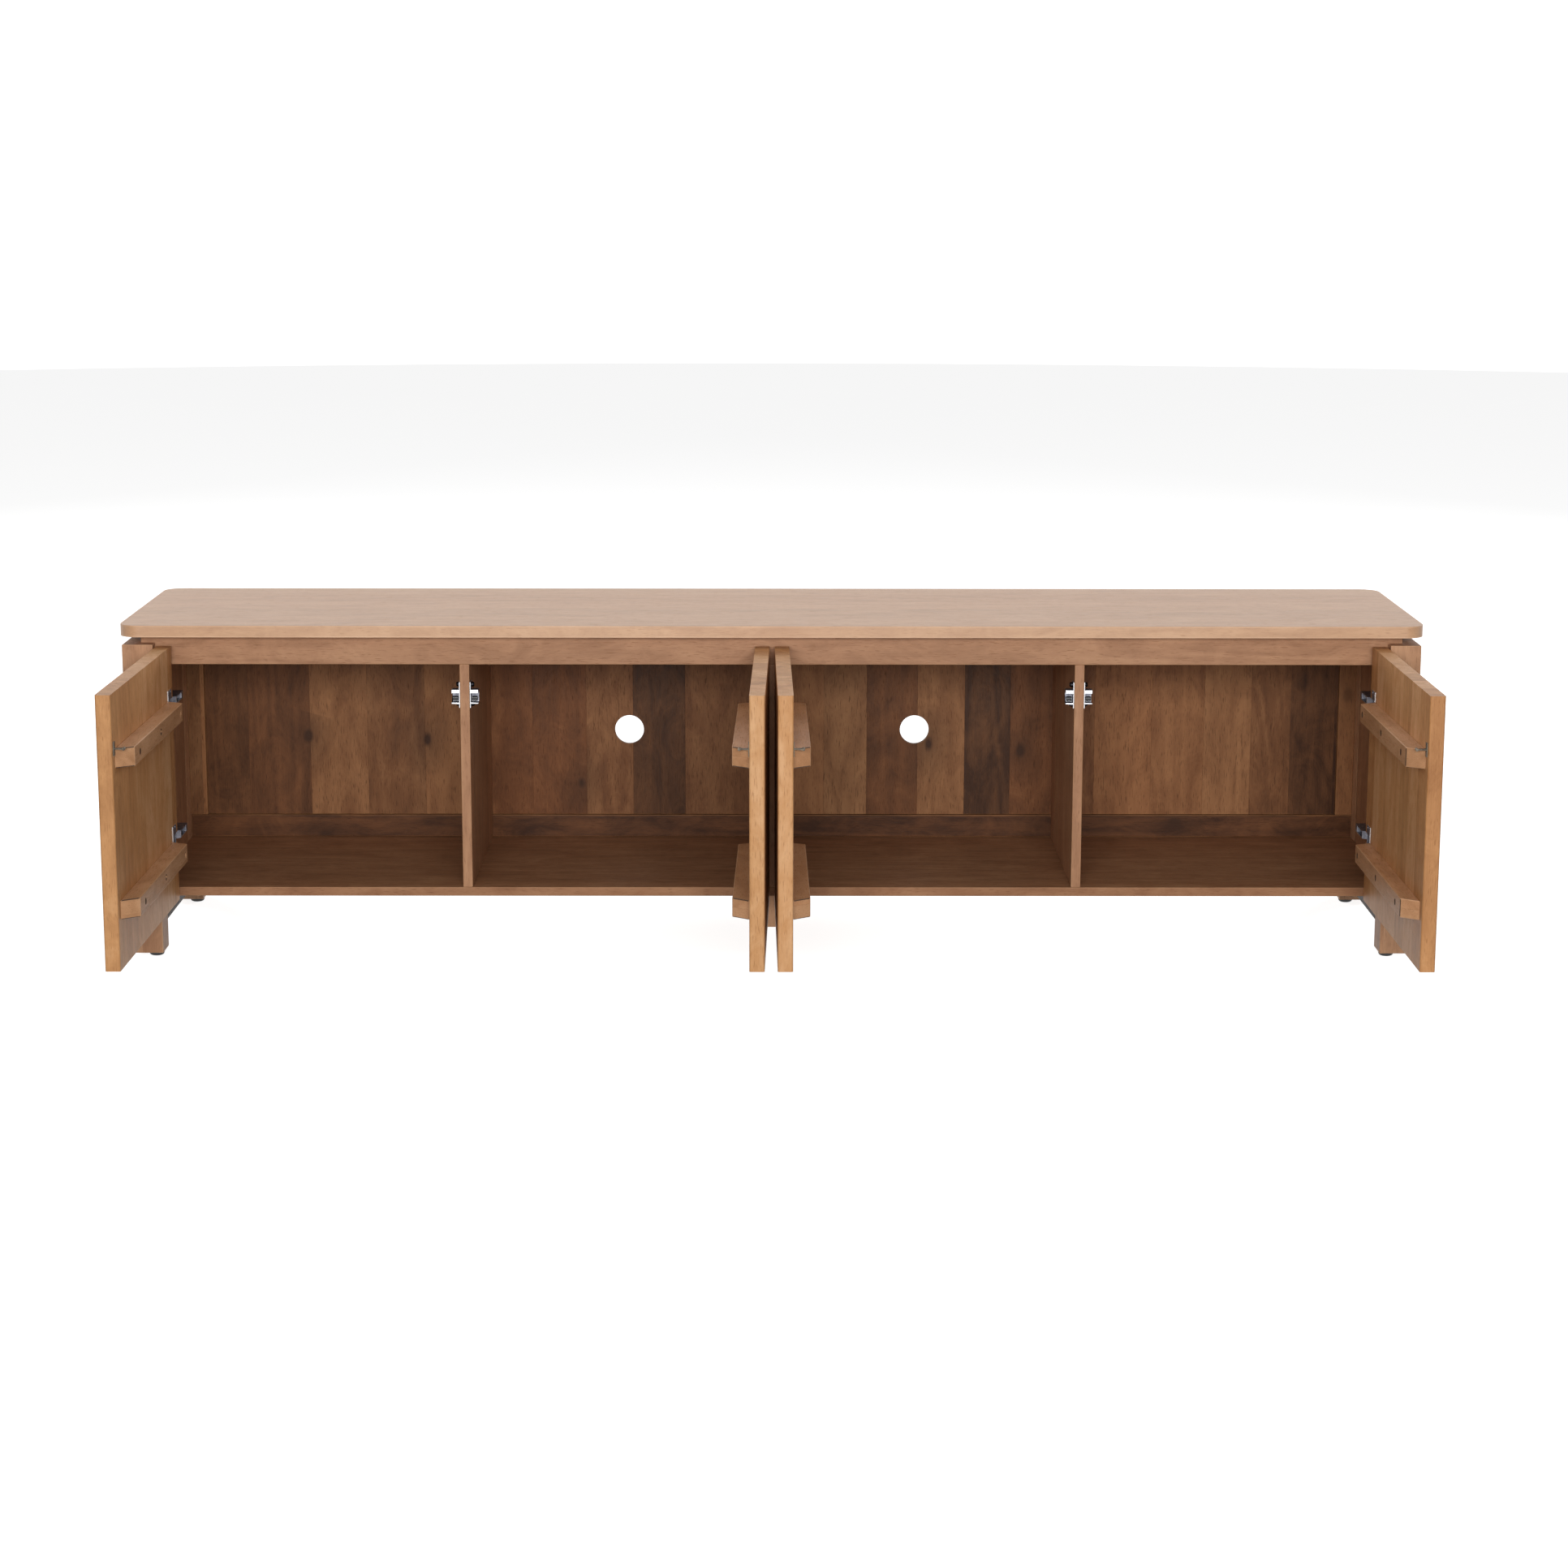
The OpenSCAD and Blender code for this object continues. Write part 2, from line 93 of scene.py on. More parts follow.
class Graph:
    """A material's node tree, built one node at a time."""

    def __init__(self, name):
        self.material = bpy.data.materials.new(name)
        self.material.use_nodes = True
        self.tree = self.material.node_tree
        self.tree.nodes.clear()
        out = self.add("ShaderNodeOutputMaterial")
        self.bsdf = self.add("ShaderNodeBsdfPrincipled")
        self.link(self.bsdf.outputs["BSDF"], out.inputs["Surface"])

    def add(self, kind, **settings):
        node = self.tree.nodes.new(kind)
        for key, value in settings.items():
            setattr(node, key, value)
        return node

    def link(self, source, target):
        self.tree.links.new(source, target)

    def give(self, socket, value):
        """Sets an input to a number or a colour, or links it to another node's output."""
        if isinstance(value, bpy.types.NodeSocket):
            self.link(value, socket)
        else:
            socket.default_value = value

    def feed(self, node, **values):
        """Gives a node's inputs by name, with _ for a space."""
        for key, value in values.items():
            self.give(node.inputs[key.replace("_", " ")], value)
        return node

    def attribute(self, name, output="Fac"):
        """A value that the mesh carries, or 0 where it carries none of that name."""
        return self.add("ShaderNodeAttribute", attribute_name=name).outputs[output]

    def place(self):
        """The point's place in its own object."""
        return self.add("ShaderNodeTexCoord").outputs["Object"]

    def math(self, operation, a, b=0.0, clamp=False):
        node = self.add("ShaderNodeMath", operation=operation, use_clamp=clamp)
        self.give(node.inputs[0], a)
        self.give(node.inputs[1], b)
        return node.outputs[0]

    def vector(self, operation, a, b):
        node = self.add("ShaderNodeVectorMath", operation=operation)
        self.give(node.inputs[0], a)
        self.give(node.inputs[1], b)
        return node.outputs[0]

    def channels(self, colour):
        """The red, green and blue of a colour, by name."""
        return self.feed(self.add("ShaderNodeSeparateColor"), Color=colour).outputs

    def remap(self, value, low, high, to_low=0.0, to_high=1.0):
        node = self.add("ShaderNodeMapRange", clamp=True)
        self.feed(node, Value=value, From_Min=low, From_Max=high, To_Min=to_low, To_Max=to_high)
        return node.outputs["Result"]

    def noise(self, vector, scale=1.0, detail=3.0, roughness=0.5, distortion=0.0):
        node = self.add("ShaderNodeTexNoise")
        self.feed(node, Vector=vector, Scale=scale, Detail=detail)
        self.feed(node, Roughness=roughness, Distortion=distortion)
        return node.outputs["Fac"]

    def ramp(self, value, stops):
        node = self.add("ShaderNodeValToRGB")
        elements = node.color_ramp.elements
        while len(elements) < len(stops):
            elements.new(0.5)
        for element, (place, colour) in zip(elements, stops):
            element.position = place
            element.color = colour
        self.link(value, node.inputs["Fac"])
        return node.outputs["Color"]

    def mix(self, factor, a, b, blend="MIX"):
        """A mix of two colours.  The node's colour sockets are its inputs 6 and 7 and its output 2."""
        node = self.add("ShaderNodeMix", data_type="RGBA", blend_type=blend)
        self.give(node.inputs[0], factor)
        self.give(node.inputs[6], a)
        self.give(node.inputs[7], b)
        return node.outputs[2]

    def bump(self, height, distance, strength):
        """Raises the surface by a pattern, distance being the height that 1 stands for."""
        node = self.add("ShaderNodeBump")
        self.feed(node, Height=height, Distance=distance, Strength=strength)
        self.link(node.outputs["Normal"], self.bsdf.inputs["Normal"])


def knot_mask(g, grain):
    """A few knots: in some cells of a coarse pattern, a dark eye with a soft swirl around it."""
    spread = g.vector("MULTIPLY", grain, (5.0, 8.0, 8.0))
    bend = g.math("MULTIPLY", g.noise(spread, scale=3.0, detail=3.0), 0.10)
    cell = g.add("ShaderNodeTexVoronoi", voronoi_dimensions="2D")
    g.feed(cell, Vector=spread, Scale=1.0, Randomness=1.0)
    reach = g.math("ADD", cell.outputs["Distance"], bend)
    chosen = g.remap(g.channels(cell.outputs["Color"])["Red"], 0.70, 0.74)
    eye = g.remap(reach, 0.08, 0.16, 1.0, 0.0)
    swirl = g.math("MULTIPLY", g.remap(reach, 0.10, 0.42, 1.0, 0.0), 0.5)
    return g.math("MULTIPLY", g.math("MAXIMUM", eye, swirl), chosen)


JOINT_WIDTH = 0.35 * MM
PORE_DEPTH = 0.12 * MM
# Painted shade: the dark brown that fills drilled holes.
PAINTED_HOLE_SHADE = srgb(30, 19, 13)

# How much the blotches and the fine fibres weigh in the colour of every wood.
MOTTLE = 0.66
FIBRE = 0.14


def wood_material(
    name, tints, stave, tones, figure, streak=0.28, hue=0.35, knots=0.0, gloss=0.46, shine=0.24
):
    """Stained mango wood.  tints are its dark, middle and light screen colour, and stave is the mean
    width of the glued staves in metres.  tones and hue say how far the staves differ in lightness and
    in redness, figure and streak how strong the growth rings and the long streaks are, knots how dark
    the knots are, gloss how rough the oiled face is and shine how much it reflects.

    The mesh carries "grain", a point's place as (along, across, through) the board, a mark that is 1 on
    an eased edge, where the wood is lightened as a painted highlight, and "bore", which is 1 in a
    drilled hole, where it is darkened as painted shade."""
    dark, middle, light = (srgb(*tint) for tint in tints)
    g = Graph(name)
    grain = g.attribute("grain", "Vector")

    # Staves, and the glue joints between them.
    across = g.feed(g.add("ShaderNodeSeparateXYZ"), Vector=grain).outputs["Y"]
    staves = g.math("MULTIPLY", across, 1 / stave)
    cell = g.add("ShaderNodeTexVoronoi", voronoi_dimensions="1D")
    edge = g.add("ShaderNodeTexVoronoi", voronoi_dimensions="1D", feature="DISTANCE_TO_EDGE")
    for pattern in (cell, edge):
        g.feed(pattern, W=staves, Scale=1.0, Randomness=0.7)
    joint = g.remap(edge.outputs["Distance"], 0.0, JOINT_WIDTH / stave, 1.0, 0.0)
    stave_tone = g.channels(cell.outputs["Color"])
    shift = g.vector("MULTIPLY", cell.outputs["Color"], (23.0, 17.0, 31.0))

    def stretched(along, side):
        """The place in a pattern with so many waves to the metre; each stave has its own part of it."""
        return g.vector("ADD", g.vector("MULTIPLY", grain, (along, side, side)), shift)

    # Figure, from growth rings down to pores.
    heart = g.noise(stretched(1.5, 11.0), detail=2.0, distortion=0.5)
    rings = g.remap(g.math("SINE", g.math("MULTIPLY", heart, 46.0)), -1.0, 1.0)
    streaks = g.noise(stretched(7.0, 80.0), detail=4.0, roughness=0.6, distortion=0.3)
    mottle = g.noise(stretched(10.0, 18.0), detail=5.0, roughness=0.66, distortion=1.4)
    fibres = g.noise(stretched(30.0, 900.0), detail=2.0)
    pores = g.remap(g.noise(stretched(70.0, 800.0), detail=1.0), 0.60, 0.70)

    # Colour: each pattern is 0.5 on average, so their weighted sum is brought back to that.
    tone = g.math("MULTIPLY", stave_tone["Red"], tones)
    layers = ((rings, figure), (streaks, streak), (mottle, MOTTLE), (fibres, FIBRE))
    for value, weight in layers:
        tone = g.math("ADD", tone, g.math("MULTIPLY", value, weight))
    mean = 0.5 * (tones + sum(weight for _, weight in layers))
    tone = g.math("ADD", g.math("SUBTRACT", tone, mean), 0.5, clamp=True)
    colour = g.ramp(tone, ((0.12, dark), (0.5, middle), (0.88, light)))
    redness = g.remap(stave_tone["Green"], 0.0, 1.0, 0.0, hue)
    colour = g.mix(redness, colour, g.mix(1.0, colour, (1.0, 0.84, 0.74, 1.0), "MULTIPLY"))
    colour = g.mix(g.math("MULTIPLY", pores, 0.5), colour, dark)
    colour = g.mix(g.math("MULTIPLY", joint, 0.45), colour, dark)
    if knots:
        colour = g.mix(g.math("MULTIPLY", knot_mask(g, grain), knots), colour, dark)
    # Painted highlight: eased edges are lightened towards the light tint, more along some streaks.
    painted_highlight = g.math("MULTIPLY", g.attribute("edge_highlight"), g.remap(streaks, 0.35, 0.65, 0.25, 0.75))
    colour = g.mix(painted_highlight, colour, light)
    # Painted shade: the inside of each drilled hole is darkened.
    colour = g.mix(g.math("MULTIPLY", g.attribute("bore"), 0.9), colour, PAINTED_HOLE_SHADE)
    g.feed(g.bsdf, Base_Color=colour, Specular_IOR_Level=shine)

    # Surface: oil over raised fibres, open pores and sunk joints.
    polish = g.remap(fibres, 0.3, 0.7, gloss - 0.05, gloss + 0.07)
    g.feed(g.bsdf, Roughness=g.math("ADD", polish, g.math("MULTIPLY", pores, 0.12)))
    height = g.math("SUBTRACT", g.math("MULTIPLY", fibres, 0.35), g.math("MULTIPLY", pores, 0.6))
    g.bump(g.math("SUBTRACT", height, joint), PORE_DEPTH, 0.7)
    return g.material


# The colour of the painted highlight on the eased and cut edges of metal.
PAINTED_EDGE_HIGHLIGHT = (0.55, 0.56, 0.58, 1.0)


def metal_material(name, colour, dull, rough, painted_highlight=PAINTED_EDGE_HIGHLIGHT):
    """Plated or burnished metal: a cloudy film, fine rolling lines and edges lightened as a painted
    highlight.
    The mesh carries a mark that is 1 on an eased edge, and "cut", which is 1 on a cut edge; both get
    the painted highlight."""
    g = Graph(name)
    place = g.place()
    highlit_edges = g.math("MAXIMUM", g.attribute("edge_highlight"), g.attribute("cut"))
    cloud = g.noise(place, scale=160.0, detail=4.0, roughness=0.6)
    lines = g.noise(g.vector("MULTIPLY", place, (2600.0, 180.0, 2600.0)), detail=2.0)
    tint = g.mix(g.remap(cloud, 0.35, 0.65), colour, dull)
    # Painted highlight: eased and cut edges are lightened.
    tint = g.mix(g.math("MULTIPLY", highlit_edges, 0.8), tint, painted_highlight)
    film = g.remap(cloud, 0.3, 0.7, rough - 0.06, rough + 0.1)
    film = g.math("ADD", film, g.math("MULTIPLY", lines, 0.06))
    g.feed(g.bsdf, Base_Color=tint, Metallic=1.0, Roughness=film)
    g.bump(g.math("ADD", lines, cloud), 0.02 * MM, 0.6)
    return g.material


def plastic_material(name, colour, scuffed, rough):
    """Moulded plastic with a fine spark texture and paler scuffs."""
    g = Graph(name)
    place = g.place()
    spark = g.noise(place, scale=2200.0, detail=2.0)
    scuffs = g.remap(g.noise(place, scale=240.0, detail=5.0, roughness=0.7), 0.58, 0.74)
    film = g.remap(spark, 0.3, 0.7, rough - 0.08, rough + 0.1)
    g.feed(g.bsdf, Base_Color=g.mix(scuffs, colour, scuffed), Roughness=film)
    g.bump(spark, 0.03 * MM, 0.8)
    return g.material


MATERIALS = {
    "wood_top": wood_material(
        "wood_top",
        ((170, 126, 91), (199, 156, 119), (215, 175, 139)),
        stave=0.085,
        tones=0.16,
        figure=0.10,
        gloss=0.40,
        shine=0.60,
    ),
    "wood_case": wood_material(
        "wood_case",
        ((126, 86, 58), (170, 127, 95), (196, 154, 118)),
        stave=0.090,
        tones=0.20,
        figure=0.12,
    ),
    "wood_leg": wood_material(
        "wood_leg",
        ((140, 98, 70), (186, 142, 108), (212, 170, 134)),
        stave=0.034,
        tones=0.24,
        figure=0.10,
    ),
    # Near-black: painted shade for the lower rails, which stand in the shadow under the case.
    "wood_rail": wood_material(
        "wood_rail",
        ((22, 15, 11), (38, 27, 21), (60, 45, 36)),
        stave=0.045,
        tones=0.20,
        figure=0.10,
        gloss=0.55,
    ),
    "wood_back": wood_material(
        "wood_back",
        ((58, 34, 19), (112, 74, 46), (152, 110, 74)),
        stave=0.088,
        tones=0.62,
        figure=0.10,
        streak=0.12,
        hue=0.8,
        knots=1.0,
        shine=0.14,
    ),
    "wood_door": wood_material(
        "wood_door",
        ((146, 96, 54), (198, 146, 96), (228, 184, 140)),
        stave=0.070,
        tones=0.26,
        figure=0.10,
    ),
    "wood_batten": wood_material(
        "wood_batten",
        ((138, 94, 60), (182, 136, 98), (208, 165, 128)),
        stave=0.060,
        tones=0.14,
        figure=0.10,
    ),
    "zinc": metal_material("zinc", srgb(138, 139, 148), srgb(98, 100, 110), 0.38),
    "steel_dark": metal_material(
        "steel_dark", srgb(46, 34, 27), srgb(22, 16, 13), 0.5, srgb(72, 56, 46)
    ),
    "glide_black": plastic_material("glide_black", srgb(22, 21, 21), srgb(58, 56, 54), 0.48),
    "roller_black": plastic_material("roller_black", srgb(26, 26, 28), srgb(70, 70, 72), 0.36),
}
# Black metal for the catch screws; their blackness is partly painted shade of the catch on its divider.
BLACK_SCREW_AND_SHADE = metal_material("screw_black_and_shade", srgb(44, 44, 48), srgb(18, 18, 20), 0.28)
DULL_ZINC = metal_material("zinc_dull", srgb(98, 90, 80), srgb(62, 56, 50), 0.5, srgb(104, 98, 88))
# A darker copy of wood_case for the bottom panel: painted shade of the dim inside of the case.
SHADED_SHELF_WOOD = wood_material(
    "wood_shelf_painted_shade",
    ((104, 68, 44), (150, 108, 78), (180, 138, 104)),
    stave=0.090,
    tones=0.20,
    figure=0.12,
    shine=0.16,
)

# Nodes that look different from the rest of their slot.
OWN_FINISH = {"bottom_panel": SHADED_SHELF_WOOD} | {f"strike_{k}": DULL_ZINC for k in DOORS}


def finish_of(node):
    return OWN_FINISH.get(node, MATERIALS[SLOT_OF[node]])


# ---- mesh helpers --------------------------------------------------------


def cad_mesh(node):
    """A working copy of a CAD node's mesh, welded, with each flat face in one piece."""
    bm = bmesh.new()
    bm.from_mesh(frame["nodes"][node].data)
    bmesh.ops.remove_doubles(bm, verts=bm.verts, dist=WELD)
    bmesh.ops.dissolve_limit(bm, angle_limit=FLAT, verts=bm.verts, edges=bm.edges)
    bmesh.ops.recalc_face_normals(bm, faces=bm.faces)
    return bm


def islands(bm):
    """The loose solids of a mesh, each as its list of vertices."""
    left = set(bm.verts)
    found = []
    while left:
        group, waiting = [], [left.pop()]
        while waiting:
            v = waiting.pop()
            group.append(v)
            for e in v.link_edges:
                other = e.other_vert(v)
                if other in left:
                    left.remove(other)
                    waiting.append(other)
        found.append(group)
    return found


def door_turn(k):
    """How far door k's broad face is turned away from facing along X, as a matrix."""
    faces = frame["nodes"][f"door_panel_{k}"].data.polygons
    normal = max(faces, key=lambda f: f.area).normal
    angle = math.atan2(normal.y, normal.x)
    quarter = math.pi / 2
    return Matrix.Rotation(angle - quarter * round(angle / quarter), 4, "Z")


def solid_boxes(node, turn=None):
    """(low corner, high corner) of each solid in a CAD node, in order of x, then z.
    With turn, the boxes are those of the node turned back by it."""
    bm = cad_mesh(node)
    if turn:
        bm.transform(turn.inverted())
    boxes = []
    for group in islands(bm):
        spots = [v.co for v in group]
        low = Vector(min(p[i] for p in spots) for i in (X, Y, Z))
        high = Vector(max(p[i] for p in spots) for i in (X, Y, Z))
        boxes.append((low, high))
    bm.free()
    return sorted(boxes, key=lambda b: (round(b[0].x, 4), round(b[0].z, 4)))


def round_edges(bm, chosen, radius, segments, clamp=True):
    """Rounds the edges that the function chosen picks, and marks the rounding, which the materials
    lighten as a painted highlight.
    """
    highlight_layer = bm.verts.layers.float.new("edge_highlight")
    made = bmesh.ops.bevel(
        bm,
        geom=[e for e in bm.edges if chosen(e)],
        offset=radius,
        offset_type="OFFSET",
        segments=segments,
        profile=0.5,
        affect="EDGES",
        clamp_overlap=clamp,
    )
    rounded = set(made["faces"])
    for v in bm.verts:
        v[highlight_layer] = 1.0 if all(f in rounded for f in v.link_faces) else 0.0


def ease(bm, radius, shortest, segments=3):
    """Rounds the sharp edges that are longer than shortest."""

    def sharp(e):
        return len(e.link_faces) == 2 and e.calc_face_angle(0) > SHARP and e.calc_length() > shortest

    round_edges(bm, sharp, radius, segments)


def mark_cuts(bm):
    """Marks the narrow faces, the cut edges of sheet metal."""
    layer = bm.faces.layers.float.new("cut")
    for f in bm.faces:
        f[layer] = 1.0 if 2 * f.calc_area() < SHEET_EDGE * f.calc_perimeter() else 0.0


def mark_bores(bm, node):
    """Marks the faces inside drilled holes, the small ones that lie well within the board's outline."""
    layer = bm.faces.layers.float.new("bore")
    low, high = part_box(node)
    thin = min((X, Y, Z), key=lambda i: high[i] - low[i])
    for f in bm.faces:
        spot = f.calc_center_bounds()
        inside = all(
            low[i] + BORE_MARGIN < spot[i] < high[i] - BORE_MARGIN for i in (X, Y, Z) if i != thin
        )
        f[layer] = 1.0 if inside and f.calc_perimeter() < BORE_FACE else 0.0


GRAIN_STEP = Vector((3.7, 1.3, 2.1))


def lay_grain(bm, order, seed):
    """Stores each point's place as (along, across, through) the board, each board a step further on."""
    layer = bm.verts.layers.float_vector.new("grain")
    step = GRAIN_STEP * seed
    for v in bm.verts:
        v[layer] = Vector(v.co[i] for i in order) + step


def shade(bm):
    """Smooth shading over all edges but creases."""
    for f in bm.faces:
        f.smooth = True
    for e in bm.edges:
        if len(e.link_faces) == 2:
            e.smooth = e.calc_face_angle(0) < CREASE


def make_piece(name, bm, body, material, replaces=()):
    """Turns a working mesh into a finished piece that rides on a body."""
    shade(bm)
    mesh = bpy.data.meshes.new(name)
    bm.to_mesh(mesh)
    bm.free()
    mesh.materials.append(material)
    obj = bpy.data.objects.new(name, mesh)
    bpy.context.scene.collection.objects.link(obj)
    weighted = obj.modifiers.new("even_shading", "WEIGHTED_NORMAL")
    weighted.keep_sharp = True
    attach(obj, body)
    if replaces:
        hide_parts(*replaces)


# ---- boards --------------------------------------------------------------

# The axes that run along, across and through a board.
ALONG_X = (X, Y, Z)
ALONG_X_UP = (X, Z, Y)
ALONG_Y = (Y, Z, X)
ALONG_Z = (Z, Y, X)
ALONG_Z_FACING = (Z, X, Y)

# A board's place in this list picks its patch of wood.
GRAIN = {
    "top_panel": ALONG_X,
    "front_apron": ALONG_X_UP,
    "rear_apron": ALONG_X_UP,
    "side_apron_left": ALONG_Y,
    "side_apron_right": ALONG_Y,
    "bottom_panel": ALONG_X,
    "lower_rails": ALONG_Y,
    "side_panel_left": ALONG_Z,
    "side_panel_right": ALONG_Z,
    "divider_left": ALONG_Z,
    "divider_centre": ALONG_Z,
    "divider_right": ALONG_Z,
    "back_rail": ALONG_X_UP,
    "back_stiles": ALONG_Z_FACING,
    "back_panel_1": ALONG_Z_FACING,
    "back_panel_2": ALONG_Z_FACING,
    "back_panel_3": ALONG_Z_FACING,
    "back_panel_4": ALONG_Z_FACING,
    "leg_front_left": ALONG_Z_FACING,
    "leg_front_right": ALONG_Z_FACING,
    "leg_rear_left": ALONG_Z_FACING,
    "leg_rear_right": ALONG_Z_FACING,
    "centre_leg": ALONG_Z_FACING,
    "hinge_blocks": ALONG_Z,
}
for k in DOORS:
    GRAIN[f"door_panel_{k}"] = ALONG_Z
    GRAIN[f"upper_batten_{k}"] = ALONG_Y
    GRAIN[f"lower_batten_{k}"] = ALONG_Y


ARC_STEPS = 14


def level(e):
    return abs(e.verts[0].co.z - e.verts[1].co.z) < WELD


def rounded_slab(low, high, corner, radius):
    """A slab whose plan has rounded corners and whose upper and lower edges are eased."""
    bm = bmesh.new()
    outline = []
    for sx, sy, start in ((1, 1, 0), (-1, 1, 90), (-1, -1, 180), (1, -1, 270)):
        cx = (high.x if sx > 0 else low.x) - sx * corner
        cy = (high.y if sy > 0 else low.y) - sy * corner
        for i in range(ARC_STEPS + 1):
            a = math.radians(start + 90 * i / ARC_STEPS)
            outline.append((cx + corner * math.cos(a), cy + corner * math.sin(a)))
    rings = [[bm.verts.new((x, y, z)) for x, y in outline] for z in (low.z, high.z)]
    bm.faces.new(reversed(rings[0]))
    bm.faces.new(rings[1])
    count = len(outline)
    for i in range(count):
        j = (i + 1) % count
        bm.faces.new((rings[0][i], rings[0][j], rings[1][j], rings[1][i]))
    round_edges(bm, level, radius, segments=4, clamp=False)
    return bm


def top_corner_radius():
    """The plan radius of the top's corners: how far its straight front edge stops short of its end."""
    low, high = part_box("top_panel")
    mesh = frame["nodes"]["top_panel"].data
    front = [v.co.x for v in mesh.vertices if v.co.y < low.y + WELD]
    return high.x - max(front)


for seed, (node, order) in enumerate(GRAIN.items(), start=1):
    if node == "top_panel":
        board = rounded_slab(*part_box(node), top_corner_radius(), TOP_EASE)
    else:
        board = cad_mesh(node)
        ease(board, EASE, SHORTEST)
        if "batten" in node:
            mark_bores(board, node)
    lay_grain(board, order, seed)
    make_piece(
        f"{node}_board",
        board,
        BODY_OF[node],
        finish_of(node),
        replaces=[node],
    )

# ---- hardware ------------------------------------------------------------

for node in SLOT_OF:
    if node not in GRAIN and node != "glides":
        part = cad_mesh(node)
        ease(part, METAL_EASE, METAL_SHORTEST, segments=2)
        mark_cuts(part)
        make_piece(
            f"{node}_part",
            part,
            BODY_OF[node],
            finish_of(node),
            replaces=[node],
        )


# How far the lobes of a cross recess are drawn in.
LOBE = 0.42


def turned(centre, profile, axis=Z, way=1, steps=40):
    """A turned solid about an axis through centre.  profile runs from the middle outwards and round:
    (radius, height), or (radius, height, lobes) where lobes draws the ring in to a cross."""
    side, up = (axis + 1) % 3, (axis + 2) % 3
    bm = bmesh.new()
    rings = []
    for r, h, *lobes in profile:
        count = 1 if r == 0 else steps
        ring = []
        for i in range(count):
            a = 2 * math.pi * i / steps
            reach = r * (1 - LOBE * (1 - math.cos(4 * a)) * (lobes[0] if lobes else 0))
            spot = Vector(centre)
            spot[side] += reach * math.cos(a)
            spot[up] += reach * math.sin(a)
            spot[axis] += way * h
            ring.append(bm.verts.new(spot))
        rings.append(ring)
    for lower, upper in zip(rings, rings[1:]):
        for i in range(steps):
            j = (i + 1) % steps
            a, b = lower[i % len(lower)], lower[j % len(lower)]
            c, d = upper[j % len(upper)], upper[i % len(upper)]
            corners = list(dict.fromkeys((a, b, c, d)))
            if len(corners) > 2:
                bm.faces.new(corners)
    bmesh.ops.recalc_face_normals(bm, faces=bm.faces)
    return bm


def joined(meshes):
    """One working mesh from several."""
    whole = bmesh.new()
    for bm in meshes:
        spare = bpy.data.meshes.new("spare")
        bm.to_mesh(spare)
        bm.free()
        whole.from_mesh(spare)
        bpy.data.meshes.remove(spare)
    return whole


# Glides: a flat seat against the leg, a round shoulder and a slightly hollow foot.

SHOULDER_STEPS = 8


def glide_mesh(low, high):
    r, h = (high.x - low.x) / 2, high.z - low.z
    middle = Vector(((low.x + high.x) / 2, (low.y + high.y) / 2, low.z))
    lip = 0.86 * h
    profile = [(0.0, 0.5 * MM), (0.3 * r, 0.35 * MM), (r - lip - 1.2 * MM, 0.0)]
    for i in range(SHOULDER_STEPS + 1):
        a = math.radians(90 * i / SHOULDER_STEPS)
        profile.append((r - lip + lip * math.sin(a), lip * (1 - math.cos(a))))
    profile += [(r, h), (0.0, h)]
    return turned(middle, profile)


make_piece(
    "leg_glides",
    joined([glide_mesh(low, high) for low, high in solid_boxes("glides")]),
    BODY_OF["glides"],
    MATERIALS["glide_black"],
    replaces=["glides"],
)

# Screws: pan heads with a cross recess, each kind given by its radius and height.

CATCH_HEAD = (4.0 * MM, 5.0 * MM)
CUP_HEAD = (2.3 * MM, 0.9 * MM)
PLATE_HEAD = (3.1 * MM, 1.6 * MM)
BACK_HEAD = (3.2 * MM, 0.7 * MM)


def screw_mesh(spot, axis, way, radius, height):
    """A head that stands on a surface at spot and faces way along axis."""
    recess = 0.52 * radius
    profile = [
        (0.0, 0.25 * height),
        (0.4 * recess, 0.3 * height, 1.0),
        (recess, 0.95 * height, 1.0),
        (0.62 * radius, 0.98 * height),
        (0.85 * radius, 0.8 * height),
        (radius, 0.4 * height),
        (radius, 0.0),
        (0.0, 0.0),
    ]
    return turned(spot, profile, axis, way, steps=32)


# Catches: two black screws hold each plate, and a bright pin runs through each roller. The heads are
# large and black: real screws that also give painted shade, the dark patch the catch casts on its
# divider.
# out is 1 or -1: the way along X that a catch faces away from its divider.

CATCH_PLATE = 1.5 * MM
CATCH_SCREW_RISE = 15.2 * MM


def roller_pin_mesh(low, high, out):
    """The end of the pin: a slightly hollow disc with a rounded rim, set in the roller's outer end."""
    r = (high.y - low.y) / 2
    end = high.x if out > 0 else low.x
    profile = [
        (0.0, 0.25 * MM),
        (0.25 * r, 0.3 * MM),
        (0.38 * r, 0.15 * MM),
        (0.42 * r, -0.3 * MM),
        (0.0, -0.3 * MM),
    ]
    return turned((end, (low.y + high.y) / 2, high.z - r), profile, X, out, steps=24)


for k in DOORS:
    low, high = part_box(f"catch_{k}")
    roller_low, roller_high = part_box(f"roller_{k}")
    out = 1 if roller_low.x - low.x > high.x - roller_high.x else -1
    face = (low.x if out > 0 else high.x) + out * CATCH_PLATE
    middle = (low + high) / 2
    heads = []
    for side in (-1, 1):
        spot = (face, middle.y, middle.z + side * CATCH_SCREW_RISE)
        heads.append(screw_mesh(spot, X, out, *CATCH_HEAD))
    make_piece(f"catch_screws_{k}", joined(heads), "case", BLACK_SCREW_AND_SHADE)
    pin = roller_pin_mesh(roller_low, roller_high, out)
    make_piece(f"roller_pin_{k}", pin, BODY_OF[f"roller_{k}"], MATERIALS["zinc"])

# Hinges: screws through the flange of each cup into the door, and through each plate into the case.

